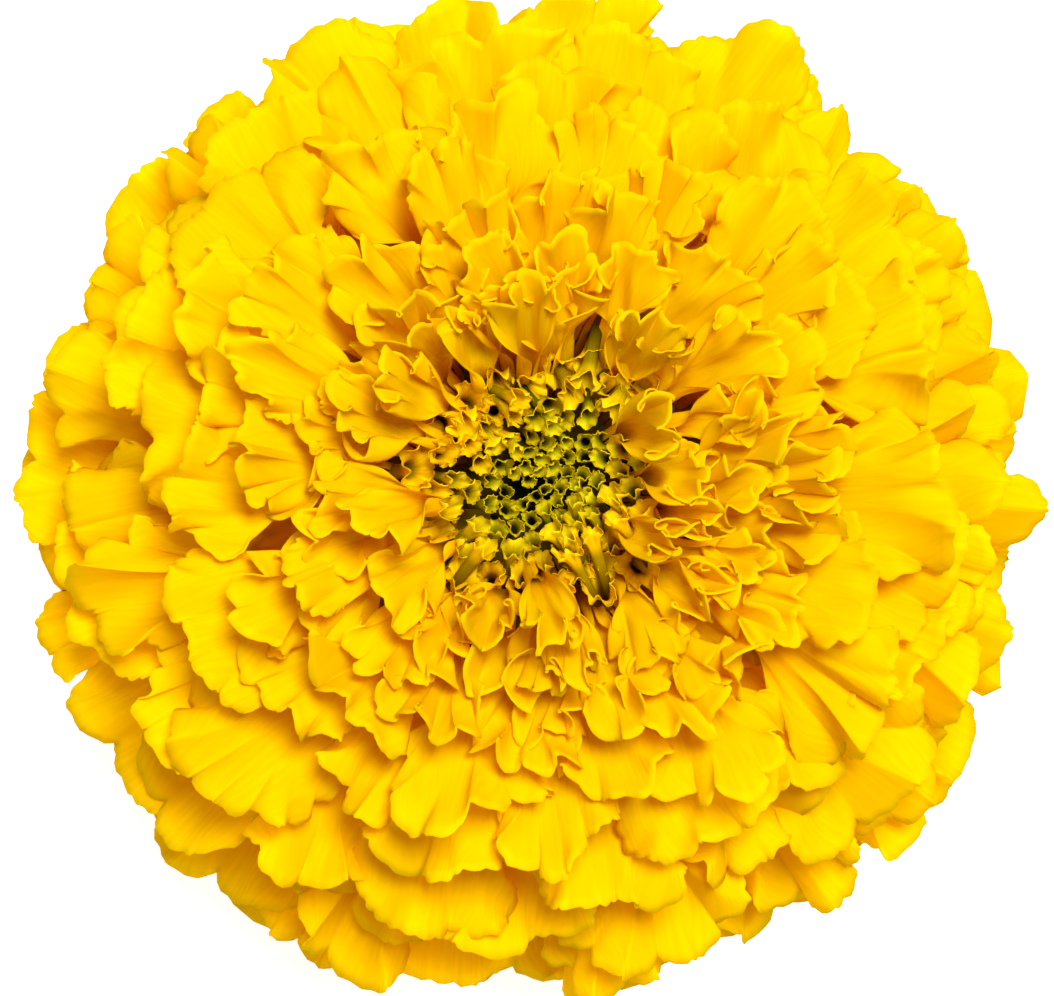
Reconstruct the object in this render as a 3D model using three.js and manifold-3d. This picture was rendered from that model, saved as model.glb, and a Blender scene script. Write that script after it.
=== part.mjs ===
// The head of a fully double African marigold, as picked: a green cup cut off flat from its stalk, a globe of ruffled
// yellow ray florets, and the eye of small trumpet-shaped disc florets.
// Millimetres, +Z up. The origin is the middle of the cup's cut base, which the head stands on, face up.
// An angle on the head is measured from the eye, at 0, down towards the cup, at PI.

import * as THREE from "three";
import { mergeVertices } from "three/addons/utils/BufferGeometryUtils.js";
import Module from "manifold-3d";

const wasm = await Module();
wasm.setup();
const { Manifold } = wasm;
const radians = THREE.MathUtils.degToRad;

// The head
const HEAD_DIAMETER = 90;
const HEAD_HEIGHT = 57;
const EQUATOR_Z = 26;
const LEAN = 1.05;

// The eye, a dip in the top of the head
const EYE_RADIUS = 13.4;
const EYE_DIP = 4.5;
const EYE_DEPTH = 9;
const EYE_MARGIN = 0.9;
const EYE_SIDES = 28;

// The ray florets: a closed tube below, and a limb that spreads above it into a ruffled fan
const LIMB_LENGTH = 12;
const LIMB_WIDTH = 15;
const LIMB_THICKNESS = 0.7;
const LIMB_CURL = 0.03;
const LIMB_UNROLLED = 0.75;
const LIMB_BEND = radians(44);
const LIMB_BEND_SPREAD = radians(8);
const LIMB_SIDEWAYS = 0.18;
const LIMB_OVERHANG = { side: 0.97, top: 0.17 };
const RUFFLE_HEIGHT = 1.9;
const RUFFLE_WAVES = 1.4;
const SMALLEST_RAY = 0.6;
const RAY_SIZE_SPREAD = 0.06;
const RAY_AREA = { inner: 26, outer: 81 };
const RAY_GROWS_OVER = 14;
const RAY_LOWEST = radians(131);
const LOWEST_MOUTH_REACH = 1.05;
const LOWEST_SHEET = 0.1;

// Rows of points across a limb: where each one is in limb lengths, its half width in limb widths, the angle to each
// side over which it fans out, and its share of the ruffle
const LIMB_ROWS = [
  { at: 0.04, width: 0.17, fan: 0, ruffle: 0, points: 2 },
  { at: 0.55, width: 0.42, fan: 0.35, ruffle: 0.3, points: 4 },
  { at: 1, width: 0.58, fan: 1.1, ruffle: 1, points: 8 },
];

// A ray floret's tube. It is made whole on the underside of the head, and elsewhere as much of it as stands out.
const TUBE_RADIUS = 1.3;
const TUBE_ROOT = { r: 7, z: 20.2 };
const TUBE_ROOT_WIDTH = 1.6;
const TUBE_SHOWN = { above: 0.42, below: 1 };
const UNDERSIDE = { from: radians(88), to: radians(108) };

// The disc florets of the eye
const DISC_AREA = { inner: 3.6, outer: 11 };
const DISC_GROWS_OVER = 13;
const DISC_MOUTH = 0.6;
const DISC_LENGTH = 5;
const DISC_SIDES = 6;
const DISC_HEIGHT = 1;
const DISC_HEIGHT_SPREAD = 0.9;
const DISC_BUNDLE_TOP = -2.6;

// Parts of a disc floret's trumpet in mouth radii
const TRUMPET = { foot: 0.4, neck: 0.5, neckDepth: 1.1, dimple: 0.8, wave: 0.18 };

// The green cup of joined bracts, each ending in a tooth, round the foot of the florets
const CUP_OUTSIDE = [[0, 0], [3.6, 0], [3.8, 1.4], [5.4, 4], [7.6, 8.2], [8.8, 11.6], [9.1, 14.4]];
const CUP_INSIDE = [[8.0, 14.4], [7.6, 11.2], [6.2, 7.8], [4.4, 6.2], [0, 5.8]];
const STALK_RINGS = 2;
const BRACT_COUNT = 9;
const BRACT_STEPS = 4;
const BRACT_TOOTH_HEIGHT = 3.4;
const BRACT_TOOTH_POINT = 1.3;
const BRACT_RIDGE = 0.5;

// What the florets stand on: the bundle of their tubes, from inside the cup up to where they part
const BUNDLE = [
  [0, 6.4], [3.8, 6.6], [5.8, 8.8], [7.1, 11.8], [7.5, 15], [7.6, 19.2], [16, 21.5], [24, 21], [26.5, 28],
  [24, 36], [18.5, 42.5], [13.2, 45.5], [0, 46],
];
const BUNDLE_RIBS = 20;
const BUNDLE_RIB = 0.03;

const CLEARANCE = 0.35;
const GOLDEN_ANGLE = Math.PI * (3 - Math.sqrt(5));

// A seeded source of numbers from 0 to 1
function makeRandom(seed) {
  let state = seed;
  return () => {
    state = (state * 1664525 + 1013904223) % 4294967296;
    return state / 4294967296;
  };
}

const random = makeRandom(11);
const spread = (amount) => (2 * random() - 1) * amount;
const between = (a, b, share) => a + (b - a) * share;

function smooth(x) {
  const t = Math.min(1, Math.max(0, x));
  return t * t * (3 - 2 * t);
}

// The surface that the mouths of the florets' tubes lie on: radius and height at an angle
const MOUTH_RADIUS = HEAD_DIAMETER / 2 - LIMB_OVERHANG.side * LIMB_LENGTH;
const MOUTH_ABOVE = HEAD_HEIGHT - EQUATOR_Z - LIMB_OVERHANG.top * LIMB_LENGTH;
const MOUTH_BELOW = LOWEST_MOUTH_REACH * EQUATOR_Z;

function mouthSurface(angle) {
  const r = MOUTH_RADIUS * Math.sin(angle);
  const above = angle < Math.PI / 2;
  const dip = above ? EYE_DIP * Math.exp(-((r / EYE_RADIUS) ** 2)) : 0;
  return { r, z: EQUATOR_Z + (above ? MOUTH_ABOVE : MOUTH_BELOW) * Math.cos(angle) - dip };
}

// The angle at which the mouths are a distance from the head's axis
function angleAtRadius(r) {
  return Math.asin(r / MOUTH_RADIUS);
}

// Angles at which florets stand, one for each area of head that such a floret takes
function floretAngles(start, end, areaAt) {
  const angles = [];
  const step = 0.0005;
  let filled = 0;
  for (let angle = start; angle < end; angle += step) {
    const here = mouthSurface(angle);
    const next = mouthSurface(angle + step);
    const band = 2 * Math.PI * here.r * Math.hypot(next.r - here.r, next.z - here.z);
    filled += band / areaAt(here.r);
    if (filled > angles.length + 0.5) angles.push(angle);
  }
  return angles;
}

function rayGrown(r) {
  return smooth((r - EYE_RADIUS) / RAY_GROWS_OVER);
}

function discArea(r) {
  return between(DISC_AREA.inner, DISC_AREA.outer, smooth(r / DISC_GROWS_OVER));
}

// The middle line of a floret, in the plane through the head's axis: radius, height and direction at a distance along
// it from the mouth of its tube. Below the mouth the tube leads back to the cup, and beyond it the limb bends over.
function middleLine(angle, along, limbLength, limbBend) {
  const lean = LEAN * angle;
  const mouth = mouthSurface(angle);
  if (along <= 0) return tubeLine(angle, mouth, lean, along);
  const steps = 8;
  const line = { ...mouth, direction: lean };
  for (let i = 0; i < steps; i += 1) {
    const here = ((i + 0.5) / steps) * along;
    line.direction = lean + limbBend * smooth(here / limbLength);
    line.r += (along / steps) * Math.sin(line.direction);
    line.z += (along / steps) * Math.cos(line.direction);
  }
  return line;
}

function tubeRoot(angle) {
  return { r: TUBE_ROOT.r * Math.sin(Math.min(angle, Math.PI / 2)), z: TUBE_ROOT.z };
}

function tubeLength(angle) {
  const mouth = mouthSurface(angle);
  const root = tubeRoot(angle);
  return Math.hypot(mouth.r - root.r, mouth.z - root.z);
}

// A tube curves from its root in the cup to its mouth
function tubeLine(angle, mouth, lean, along) {
  const root = tubeRoot(angle);
  const length = tubeLength(angle);
  const bend = { r: mouth.r - 0.5 * length * Math.sin(lean), z: mouth.z - 0.5 * length * Math.cos(lean) };
  const t = -along / length;
  const point = (key) => (1 - t) ** 2 * mouth[key] + 2 * t * (1 - t) * bend[key] + t * t * root[key];
  const slope = (key) => (1 - t) * (mouth[key] - bend[key]) + t * (bend[key] - root[key]);
  return { r: point("r"), z: point("z"), direction: Math.atan2(slope("r"), slope("z")) };
}

// A point of a floret: out is its distance from the middle line away from the head's axis, and side is to one side
function floretPoint(line, azimuth, out, side) {
  const r = line.r + out * Math.cos(line.direction);
  const z = line.z - out * Math.sin(line.direction);
  const c = Math.cos(azimuth);
  const s = Math.sin(azimuth);
  return new THREE.Vector3(r * c - side * s, r * s + side * c, Math.max(LOWEST_SHEET, z));
}

// Solids from points and triangles, from three.js geometry, and back
function solidFrom(points, triangles) {
  const vertProperties = new Float32Array(points.flatMap((p) => [p.x, p.y, p.z]));
  return new Manifold(new wasm.Mesh({ numProp: 3, vertProperties, triVerts: new Uint32Array(triangles.flat()) }));
}

function solidFromGeometry(geometry) {
  const bare = new THREE.BufferGeometry().setAttribute("position", geometry.getAttribute("position"));
  const merged = mergeVertices(bare.setIndex(geometry.getIndex()), 1e-4);
  const vertProperties = merged.getAttribute("position").array;
  return new Manifold(new wasm.Mesh({ numProp: 3, vertProperties, triVerts: new Uint32Array(merged.index.array) }));
}

function geometryFrom(solid) {
  const mesh = solid.getMesh();
  const geometry = new THREE.BufferGeometry();
  geometry.setAttribute("position", new THREE.BufferAttribute(mesh.vertProperties, 3));
  geometry.setIndex(new THREE.BufferAttribute(mesh.triVerts, 1));
  geometry.computeVertexNormals();
  return geometry;
}

// The main body of a solid, with the pockets sealed inside it filled and the scraps that cutting leaves dropped
function mainBody(solid) {
  return solid.decompose().reduce((a, b) => (b.volume() > a.volume() ? b : a));
}

// A shape turned from a profile of radius and height, standing along Z
function turned(profile, sides) {
  return new THREE.LatheGeometry(profile.map(([r, z]) => new THREE.Vector2(r, z)), sides).rotateX(Math.PI / 2);
}

// Triangles between two rows of points, of which one may have more points than the other
function stitch(rowA, rowB) {
  const triangles = [];
  let a = 0;
  let b = 0;
  while (a < rowA.length - 1 || b < rowB.length - 1) {
    const nextA = (a + 1) / (rowA.length - 1);
    const nextB = (b + 1) / (rowB.length - 1);
    if (b === rowB.length - 1 || (a < rowA.length - 1 && nextA <= nextB)) {
      triangles.push([rowA[a], rowA[a + 1], rowB[b]]);
      a += 1;
    } else {
      triangles.push([rowA[a], rowB[b + 1], rowB[b]]);
      b += 1;
    }
  }
  return triangles;
}

// The unit normals of a sheet at its points
function sheetNormals(points, sheet) {
  const normals = points.map(() => new THREE.Vector3());
  for (const triangle of sheet) {
    const [a, b, c] = triangle.map((i) => points[i]);
    const normal = b.clone().sub(a).cross(c.clone().sub(a));
    triangle.forEach((i) => normals[i].add(normal));
  }
  return normals.map((n) => n.normalize());
}

// A thin closed blade: a sheet given as rows of points, thickened alike to both of its faces, and nowhere below z = 0
function blade(rows, thickness) {
  const points = rows.flat();
  let count = 0;
  const index = rows.map((row) => row.map(() => count++));
  const sheet = rows.slice(1).flatMap((_, i) => stitch(index[i], index[i + 1]));
  const normals = sheetNormals(points, sheet);
  const face = (offset) =>
    points.map((p, i) => {
      const moved = p.clone().addScaledVector(normals[i], offset);
      return moved.setZ(Math.max(0, moved.z));
    });
  const leftEdge = index.map((row) => row[0]);
  const rightEdge = index.map((row) => row[row.length - 1]);
  const tip = index[index.length - 1];
  const outline = [...index[0], ...rightEdge.slice(1), ...tip.slice(0, -1).reverse(), ...leftEdge.slice(1, -1).reverse()];
  const triangles = [...sheet, ...sheet.map(([a, b, c]) => [a + count, c + count, b + count])];
  outline.forEach((a, i) => {
    const b = outline[(i + 1) % outline.length];
    triangles.push([b, a, a + count], [b, a + count, b + count]);
  });
  return solidFrom([...face(thickness / 2), ...face(-thickness / 2)], triangles);
}

// A ray floret as a blade, from a narrow root through the scoop of its throat to the ruffled margin of its fan
function rayFloret(angle, azimuth, size) {
  const limbLength = LIMB_LENGTH * size;
  const limbBend = LIMB_BEND + spread(LIMB_BEND_SPREAD);
  const sideways = spread(LIMB_SIDEWAYS);
  const phase = random() * Math.PI;
  const below = smooth((angle - UNDERSIDE.from) / (UNDERSIDE.to - UNDERSIDE.from));
  const shown = between(TUBE_SHOWN.above, TUBE_SHOWN.below, below) * tubeLength(angle);
  const limb = LIMB_ROWS.map((row) => ({ ...row, along: row.at * limbLength, half: row.width * LIMB_WIDTH * size }));
  const rows = [{ along: -shown, half: TUBE_ROOT_WIDTH / 2, fan: 0, ruffle: 0, points: 2 }, ...limb];

  const pointAt = (row, u) => {
    const fanRadius = row.fan ? row.half / row.fan : 0;
    const across = row.fan ? fanRadius * Math.sin(row.fan * u) : row.half * u;
    const along = row.along - fanRadius * (1 - Math.cos(row.fan * u));
    const unrolled = smooth(along / (LIMB_UNROLLED * limbLength) + 0.2);
    const curl = between(1 / TUBE_RADIUS, LIMB_CURL, unrolled);
    const wave = Math.sin(phase + RUFFLE_WAVES * Math.PI * u) * RUFFLE_HEIGHT * size * row.ruffle;
    const rise = (1 - Math.cos(curl * across)) / curl + wave;
    const side = Math.sin(curl * across) / curl + sideways * Math.max(0, along);
    return floretPoint(middleLine(angle, along, limbLength, limbBend), azimuth, -rise, side);
  };
  const acrossRow = (row) => Array.from({ length: row.points }, (_, i) => pointAt(row, (2 * i) / (row.points - 1) - 1));
  return blade(rows.map(acrossRow), LIMB_THICKNESS);
}

// A disc floret: a trumpet with a dimpled mouth
function discFloret(angle, azimuth, mouth) {
  const top = DISC_HEIGHT + spread(DISC_HEIGHT_SPREAD);
  const turn = random() * Math.PI;
  const rings = [
    { along: -DISC_LENGTH, radius: TRUMPET.foot * mouth, wave: 0 },
    { along: top - TRUMPET.neckDepth * mouth, radius: TRUMPET.neck * mouth, wave: 0 },
    { along: top, radius: mouth, wave: TRUMPET.wave * mouth },
  ];
  const at = (along, out = 0, side = 0) => floretPoint(middleLine(angle, along, 1, 0), azimuth, out, side);
  const points = rings.flatMap((ring) =>
    Array.from({ length: DISC_SIDES }, (_, i) => {
      const a = (2 * Math.PI * i) / DISC_SIDES + turn;
      return at(ring.along + (i % 2 ? 1 : -1) * ring.wave, ring.radius * Math.cos(a), ring.radius * Math.sin(a));
    }),
  );
  const foot = points.push(at(-DISC_LENGTH)) - 1;
  const dimple = points.push(at(top - TRUMPET.dimple * mouth)) - 1;
  const rim = (rings.length - 1) * DISC_SIDES;
  const triangles = [];
  for (let i = 0; i < DISC_SIDES; i += 1) {
    const j = (i + 1) % DISC_SIDES;
    triangles.push([foot, j, i], [dimple, rim + i, rim + j]);
    for (let k = 0; k < rim; k += DISC_SIDES) {
      const above = k + DISC_SIDES;
      triangles.push([k + i, k + j, above + j], [k + i, above + j, above + i]);
    }
  }
  return solidFrom(points, triangles);
}

// The room of the eye: what lies inside the line that the florets at its edge follow, less a gap, up to a height
// along that line
function eyeRoom(gap, top) {
  const edge = angleAtRadius(EYE_RADIUS);
  const wall = [0, 0.25, 0.5, 0.75, 1].map((share) => {
    const { r, z } = middleLine(edge, between(-EYE_DEPTH, top, share), 1, 0);
    return [r - gap, z + gap * (1 - share)];
  });
  const profile = [[0, wall[0][1]], ...wall, [0, wall[wall.length - 1][1]]];
  return solidFromGeometry(turned(profile, EYE_SIDES));
}

// The bundle that the ray florets stand on, with ribs for the tubes round its outside
function rayBundle() {
  const geometry = turned(BUNDLE, 2 * BUNDLE_RIBS);
  const position = geometry.getAttribute("position");
  for (let i = 0; i < position.count; i += 1) {
    const side = Math.floor(i / BUNDLE.length);
    const rib = position.getZ(i) > TUBE_ROOT.z ? BUNDLE_RIB * (side % 2 ? 1 : -1) : 0;
    position.setXYZ(i, position.getX(i) * (1 + rib), position.getY(i) * (1 + rib), position.getZ(i));
  }
  return solidFromGeometry(geometry);
}

function rayFlorets() {
  const first = angleAtRadius(EYE_RADIUS + EYE_MARGIN);
  const areaAt = (r) => between(RAY_AREA.inner, RAY_AREA.outer, rayGrown(r));
  const florets = floretAngles(first, RAY_LOWEST, areaAt).map((angle, k) => {
    const size = between(SMALLEST_RAY, 1, rayGrown(mouthSurface(angle).r)) + spread(RAY_SIZE_SPREAD);
    return rayFloret(angle, k * GOLDEN_ANGLE, size);
  });
  return mainBody(Manifold.union([rayBundle(), ...florets]).subtract(eyeRoom(0, EYE_DEPTH)));
}

function discFlorets() {
  const widest = DISC_MOUTH * Math.sqrt(DISC_AREA.outer);
  const last = angleAtRadius(EYE_RADIUS - CLEARANCE - widest);
  const florets = floretAngles(0, last, discArea).map((angle, k) => {
    const mouth = DISC_MOUTH * Math.sqrt(discArea(mouthSurface(angle).r));
    return discFloret(angle, k * GOLDEN_ANGLE, mouth);
  });
  return mainBody(Manifold.union([eyeRoom(CLEARANCE, DISC_BUNDLE_TOP), ...florets]));
}

// The cup, with a ridge down each bract and a tooth above it
function cup() {
  const profile = [...CUP_OUTSIDE, ...CUP_INSIDE];
  const sides = BRACT_COUNT * BRACT_STEPS;
  const geometry = turned(profile, sides);
  const position = geometry.getAttribute("position");
  const mouth = CUP_OUTSIDE.length - 1;
  for (let i = 0; i < position.count; i += 1) {
    const ring = i % profile.length;
    const side = Math.floor(i / profile.length);
    const towardsMiddle = 1 - Math.abs((2 * (side % BRACT_STEPS)) / BRACT_STEPS - 1);
    const ridged = ring > STALK_RINGS && ring <= mouth;
    const ridge = ridged ? (BRACT_RIDGE * (towardsMiddle - 0.5)) / profile[ring][0] : 0;
    const toothed = ring === mouth || ring === mouth + 1;
    const tooth = toothed ? BRACT_TOOTH_HEIGHT * towardsMiddle ** BRACT_TOOTH_POINT : 0;
    position.setXYZ(i, position.getX(i) * (1 + ridge), position.getY(i) * (1 + ridge), position.getZ(i) + tooth);
  }
  return solidFromGeometry(geometry);
}

function part(name, solid, color, roughness) {
  const mesh = new THREE.Mesh(geometryFrom(solid), new THREE.MeshStandardMaterial({ color, roughness, metalness: 0 }));
  mesh.name = name;
  return mesh;
}

const flowerHead = new THREE.Group();
flowerHead.add(part("involucre", cup(), 0x6f9440, 0.55));
flowerHead.add(part("ray_florets", rayFlorets(), 0xffcc00, 0.6));
flowerHead.add(part("disc_florets", discFlorets(), 0xb8a010, 0.6));
export default flowerHead;
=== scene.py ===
# The head of a fully double African marigold: its looks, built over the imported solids.
# The florets are modelled in millimetres and scaled to metres when they become meshes.
# An angle on the head is measured from the eye, at 0, down towards the cup, at pi.

import math

import bpy
import numpy as np
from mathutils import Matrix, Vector


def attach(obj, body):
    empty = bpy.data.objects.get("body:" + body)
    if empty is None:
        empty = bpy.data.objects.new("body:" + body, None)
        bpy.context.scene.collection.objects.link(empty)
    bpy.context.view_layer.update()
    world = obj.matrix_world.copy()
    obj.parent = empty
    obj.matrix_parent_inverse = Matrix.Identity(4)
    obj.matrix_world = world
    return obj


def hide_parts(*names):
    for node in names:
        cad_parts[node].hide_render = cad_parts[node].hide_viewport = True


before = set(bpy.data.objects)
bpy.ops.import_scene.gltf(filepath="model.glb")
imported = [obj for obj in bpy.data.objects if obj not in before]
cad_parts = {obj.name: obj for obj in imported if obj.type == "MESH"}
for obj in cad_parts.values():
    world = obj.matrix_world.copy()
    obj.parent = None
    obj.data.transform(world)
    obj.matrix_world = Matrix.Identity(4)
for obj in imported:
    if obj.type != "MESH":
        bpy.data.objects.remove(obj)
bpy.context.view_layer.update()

MM = 0.001
TURN = 2 * math.pi
GOLDEN_ANGLE = math.pi * (3 - math.sqrt(5))
SEED = 5

# The head
HEAD_DIAMETER = 90
HEAD_HEIGHT = 57
EQUATOR_Z = 26
LEAN = 1.05

# The eye: a dip in the top of the head, with a furrow across its middle
EYE_RADIUS = 12
EYE_DIP = 4
FURROW_LENGTH = 7
FURROW_TURN = math.radians(36)
FURROW_HALF_WIDTH = 0.2
RIM_RISE = 3

# The ray florets: a closed tube below, and a limb that spreads above it into a ruffled fan
LIMB_LENGTH = 15
LIMB_WIDTH = 28
OVERHANG_SIDE = 15
OVERHANG_TOP = 5
RAY_LOWEST = math.radians(130)
LOWEST_MOUTH_REACH = 1.05
TUBE_RADIUS = 1.1
TUBE_ROOT_R = 7
TUBE_ROOT_Z = 20.2

# The area of head that a floret takes, by its distance from the axis. Below the widest part of the head it
# takes a share of that.
AREA_RADII = (0, 3, 5, 9, 13, 20, 28)
AREAS = (1.0, 1.5, 2.6, 5, 9, 28, 50)
AREA_BELOW = 0.6

# The size of a ray floret, by its distance from the axis, and where disc florets give way to rays
RAY_SIZE_RADII = (10, 14, 20, 27)
RAY_SIZES = (0.38, 0.58, 0.84, 1)
DISC_ONLY_WITHIN = 8
RAYS_ONLY_BEYOND = 11.5

# The green cup
BRACT_COUNT = 9
BRACT_TOOTH_HEIGHT = 3.4

# Textures are laid over this share of a floret's flattened millimetres
TEXTURE_SCALE = 0.05


def smooth(x):
    """An eased step from 0 at 0 to 1 at 1."""
    t = np.clip(x, 0, 1)
    return t * t * (3 - 2 * t)


def mix(a, b, share):
    return a + (b - a) * share


def eased_limit(x, start, end):
    """Values that stay as they are up to a start, and flatten out towards an end."""
    return np.where(x < start, x, start + (end - start) * np.tanh((x - start) / (end - start)))


def wave(rng, u, fewest, most):
    """A wave across a floret, from -1 to 1 high, with a number of waves between the two."""
    return np.sin(rng.uniform(fewest, most) * math.pi * u + rng.uniform(0, TURN))


# The surface that the mouths of the florets' tubes lie on: radius and height at an angle
MOUTH_RADIUS = HEAD_DIAMETER / 2 - OVERHANG_SIDE
MOUTH_ABOVE = HEAD_HEIGHT - EQUATOR_Z - OVERHANG_TOP
MOUTH_BELOW = LOWEST_MOUTH_REACH * EQUATOR_Z


def mouth_surface(angle):
    r = MOUTH_RADIUS * math.sin(angle)
    above = angle < math.pi / 2
    dip = EYE_DIP * math.exp(-((r / EYE_RADIUS) ** 2)) if above else 0
    return r, EQUATOR_Z + (MOUTH_ABOVE if above else MOUTH_BELOW) * math.cos(angle) - dip


SPIRAL_STEP = 0.001


def floret_angles():
    """Angles at which florets stand, from the eye to the lowest ray."""
    angles = []
    filled = 0
    angle = 0
    while angle < RAY_LOWEST:
        r, z = mouth_surface(angle)
        next_r, next_z = mouth_surface(angle + SPIRAL_STEP)
        area = np.interp(r, AREA_RADII, AREAS) * (1 if angle < math.pi / 2 else AREA_BELOW)
        filled += TURN * r * math.hypot(next_r - r, next_z - z) / area
        if filled > len(angles) + 0.5:
            angles.append(angle)
        angle += SPIRAL_STEP
    return angles


# The table of a middle line: its points, how far it reaches in limb lengths, and how soon the limb bends
TUBE_POINTS = 20
LIMB_POINTS = 40
LINE_REACH = 1.5
BEND_RATE = 2.6


def middle_line(angle, limb_length, limb_bend):
    """The middle line of a ray floret in the plane through the head's axis: a table of distances from the
    mouth of its tube, and the radius, height and direction there. The tube leads to the cup, and the limb
    bends over."""
    lean = LEAN * angle
    mouth_r, mouth_z = mouth_surface(angle)
    root_r = TUBE_ROOT_R * math.sin(min(angle, math.pi / 2))
    length = math.hypot(mouth_r - root_r, mouth_z - TUBE_ROOT_Z)
    bend_r = mouth_r - 0.5 * length * math.sin(lean)
    bend_z = mouth_z - 0.5 * length * math.cos(lean)
    t = np.linspace(1, 0, TUBE_POINTS)
    tube_r = (1 - t) ** 2 * mouth_r + 2 * t * (1 - t) * bend_r + t * t * root_r
    tube_z = (1 - t) ** 2 * mouth_z + 2 * t * (1 - t) * bend_z + t * t * TUBE_ROOT_Z
    slope_r = (1 - t) * (mouth_r - bend_r) + t * (bend_r - root_r)
    slope_z = (1 - t) * (mouth_z - bend_z) + t * (bend_z - TUBE_ROOT_Z)
    y = np.linspace(0, LINE_REACH * limb_length, LIMB_POINTS)[1:]
    step = y[0]
    direction = lean + limb_bend * (1 - np.exp(-BEND_RATE * (y - step / 2) / limb_length))
    limb_r = mouth_r + np.cumsum(step * np.sin(direction))
    limb_z = mouth_z + np.cumsum(step * np.cos(direction))
    return {
        "y": np.concatenate([-t * length, y]),
        "r": np.concatenate([tube_r, limb_r]),
        "z": np.concatenate([tube_z, limb_z]),
        "direction": np.concatenate([np.arctan2(slope_r, slope_z), direction]),
    }


def place(line, azimuth, y, side, lift):
    """Points of a floret, as a grid: y along its middle line, side to one side, lift towards the axis."""
    r = np.interp(y, line["y"], line["r"])
    z = np.interp(y, line["y"], line["z"])
    direction = np.interp(y, line["y"], line["direction"])
    r = r - lift * np.cos(direction)
    z = z + lift * np.sin(direction)
    c, s = math.cos(azimuth), math.sin(azimuth)
    return np.stack([r * c - side * s, r * s + side * c, z], axis=-1)


def turned_about(points, centre, axis, angle):
    """Points turned about an axis through a centre, each by an angle of its own."""
    k = np.array(axis) / np.linalg.norm(axis)
    p = points - centre
    along = (p @ k)[..., None] * k
    cos, sin = np.cos(angle)[..., None], np.sin(angle)[..., None]
    return centre + along + (p - along) * cos + np.cross(k, p) * sin


# The room for the florets: what is past the first value is flattened out towards the second
ROOM_RADIUS = (44.3, 46.5)
ROOM_HEIGHT = (55, 57.8)
ROOM_BOTTOM = 0.05
CROWN_SHIFT = 1.6
CROWN_FROM = 0.45 * HEAD_HEIGHT
CROWN_OVER = 0.45 * HEAD_HEIGHT


def kept_in_room(points):
    """Points held inside the room of the head, with its crown moved a little to one side."""
    r = np.hypot(points[..., 0], points[..., 1])
    share = eased_limit(r, *ROOM_RADIUS) / np.maximum(r, 0.01)
    points[..., 0] *= share
    points[..., 1] *= share
    points[..., 2] = np.maximum(eased_limit(points[..., 2], *ROOM_HEIGHT), ROOM_BOTTOM)
    points[..., 0] += CROWN_SHIFT * smooth((points[..., 2] - CROWN_FROM) / CROWN_OVER)
    return points


class Sheets:
    """Grids of points gathered into one mesh. Each point is marked with its place along the floret, the
    floret's own tint and the floret's place on the head."""

    def __init__(self):
        self.points = []
        self.faces = []
        self.marks = []
        self.uv = []
        self.count = 0

    def add(self, grid, along, uv, tint, spot, closed=False):
        """One more grid, which joins its last column to its first if it is closed."""
        rows, columns = grid.shape[:2]
        index = self.count + np.arange(rows * columns).reshape(rows, columns)
        if closed:
            index = np.concatenate([index, index[:, :1]], axis=1)
        a, b = index[:-1, :-1], index[:-1, 1:]
        c, d = index[1:, 1:], index[1:, :-1]
        self.faces.append(np.stack([a, b, c, d], axis=-1).reshape(-1, 4))
        self.points.append(kept_in_room(grid).reshape(-1, 3))
        marks = np.stack([along, np.full_like(along, tint), np.full_like(along, spot)], axis=-1)
        self.marks.append(marks.reshape(-1, 3))
        self.uv.append(uv.reshape(-1, 2))
        self.count += rows * columns

    def mesh(self, name):
        points = np.concatenate(self.points) * MM
        faces = np.concatenate(self.faces)
        mesh = bpy.data.meshes.new(name)
        mesh.vertices.add(len(points))
        mesh.vertices.foreach_set("co", points.astype(np.float32).ravel())
        mesh.loops.add(faces.size)
        mesh.loops.foreach_set("vertex_index", faces.astype(np.int32).ravel())
        mesh.polygons.add(len(faces))
        mesh.polygons.foreach_set("loop_start", np.arange(0, faces.size, 4, dtype=np.int32))
        marks = mesh.attributes.new("floret", "FLOAT_VECTOR", "POINT")
        marks.data.foreach_set("vector", np.concatenate(self.marks).astype(np.float32).ravel())
        uv = mesh.uv_layers.new(name="petal")
        corners = np.concatenate(self.uv)[faces.ravel()]
        uv.data.foreach_set("uv", corners.astype(np.float32).ravel())
        mesh.update(calc_edges=True)
        mesh.shade_smooth()
        piece = bpy.data.objects.new(name, mesh)
        bpy.context.collection.objects.link(piece)
        return piece


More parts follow.
